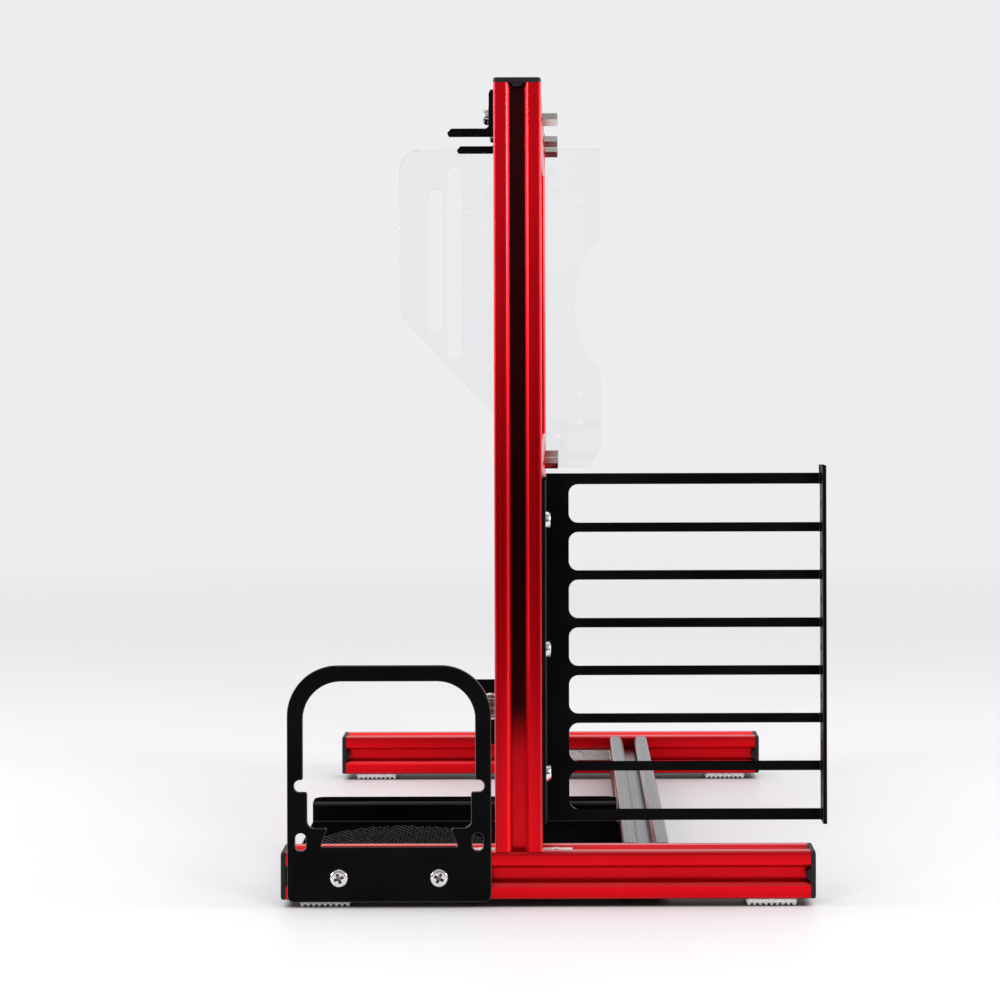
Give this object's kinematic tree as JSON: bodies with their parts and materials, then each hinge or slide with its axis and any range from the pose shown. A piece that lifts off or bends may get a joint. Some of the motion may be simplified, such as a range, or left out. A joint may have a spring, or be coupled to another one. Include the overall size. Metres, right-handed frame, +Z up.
{
  "type": "open-frame computer test bench",
  "caption": "Open test bench of T-slot extrusions that holds a motherboard upright beside a plate for expansion cards, with a power-supply bracket, tray and radiator brackets.",
  "frame": {"origin": "centre of the bounding box at the ground", "axes": "+X from the power-supply side to the card side, +Y from the near rail to the far rail, +Z up along the posts"},
  "size_m": [0.23, 0.3374, 0.3477],
  "materials": {
    "red_anodised": "bright red anodised extrusion, satin",
    "black_anodised": "black anodised extrusion, satin",
    "black_sheet": "fine black powder coat",
    "black_plastic": "moulded, fine matt",
    "clear_rubber": "clear soft rubber with bumps",
    "clear_acrylic": "clear polished sheet",
    "bright_steel": "nickel plated"
  },
  "bodies": {
    "frame": {"near_rail": "red_anodised", "far_rail": "red_anodised", "near_post": "red_anodised", "far_post": "red_anodised", "top_board_bar": "red_anodised", "middle_board_bar": "red_anodised", "base_crossbar": "black_anodised", "psu_tray": "black_sheet", "near_rail_left_cap": "black_plastic", "near_rail_right_cap": "black_plastic", "far_rail_left_cap": "black_plastic", "far_rail_right_cap": "black_plastic", "near_post_cap": "black_plastic", "far_post_cap": "black_plastic", "near_left_foot": "clear_rubber", "near_right_foot": "clear_rubber", "far_left_foot": "clear_rubber", "far_right_foot": "clear_rubber", "near_post_left_connector": "bright_steel", "near_post_right_connector": "bright_steel", "far_post_left_connector": "bright_steel", "far_post_right_connector": "bright_steel", "base_crossbar_near_connector": "bright_steel", "base_crossbar_far_connector": "bright_steel", "top_bar_near_connector": "bright_steel", "top_bar_far_connector": "bright_steel", "middle_bar_near_connector": "bright_steel", "middle_bar_far_connector": "bright_steel", "top_standoff_1": "bright_steel", "top_standoff_2": "bright_steel", "top_standoff_3": "bright_steel", "middle_standoff_1": "bright_steel", "middle_standoff_2": "bright_steel", "middle_standoff_3": "bright_steel"},
    "psu_bracket": {"psu_bracket": "black_sheet", "psu_bracket_screw_left": "bright_steel", "psu_bracket_screw_right": "bright_steel"},
    "slot_plate": {"slot_plate": "black_sheet", "slot_plate_screw_1": "bright_steel", "slot_plate_screw_2": "bright_steel", "slot_plate_screw_3": "bright_steel"},
    "radiator_near": {"radiator_bracket_near": "black_sheet", "radiator_screw_near": "bright_steel"},
    "radiator_far": {"radiator_bracket_far": "black_sheet", "radiator_screw_far": "bright_steel"},
    "clear_plate": {"clear_plate": "clear_acrylic", "clear_plate_screw_1": "bright_steel", "clear_plate_screw_2": "bright_steel"},
    "low_board_bar": {"low_board_bar": "red_anodised", "low_bar_near_connector": "bright_steel", "low_bar_far_connector": "bright_steel", "low_standoff_1": "bright_steel", "low_standoff_2": "bright_steel", "low_standoff_3": "bright_steel", "switch_bracket": "black_sheet", "switch_bracket_screw": "bright_steel", "power_switch_body": "bright_steel"},
    "power_button": {"power_button": "bright_steel"}
  },
  "joints": [
    {"name": "psu_bracket_slide", "type": "slide", "parent": "frame", "child": "psu_bracket", "axis": [1, 0, 0], "range_m": [-0.013, 0.14]},
    {"name": "slot_plate_slide", "type": "slide", "parent": "frame", "child": "slot_plate", "axis": [0, 0, 1], "range_m": [-0.009, 0.15]},
    {"name": "radiator_near_slide", "type": "slide", "parent": "frame", "child": "radiator_near", "axis": [0, 1, 0], "range_m": [-0.004, 0.04]},
    {"name": "radiator_far_slide", "type": "slide", "parent": "frame", "child": "radiator_far", "axis": [0, 1, 0], "range_m": [-0.04, 0.16]},
    {"name": "clear_plate_slide", "type": "slide", "parent": "frame", "child": "clear_plate", "axis": [0, 0, 1], "range_m": [-0.15, 0.018]},
    {"name": "low_board_bar_slide", "type": "slide", "parent": "frame", "child": "low_board_bar", "axis": [0, 0, 1], "range_m": [-0.0055, 0.0787]},
    {"name": "power_button_press", "type": "slide", "parent": "low_board_bar", "child": "power_button", "axis": [0, 1, 0], "range_m": [0, 0.0015], "stiffness_N_per_m": 900, "springref_m": -0.001}
  ]
}
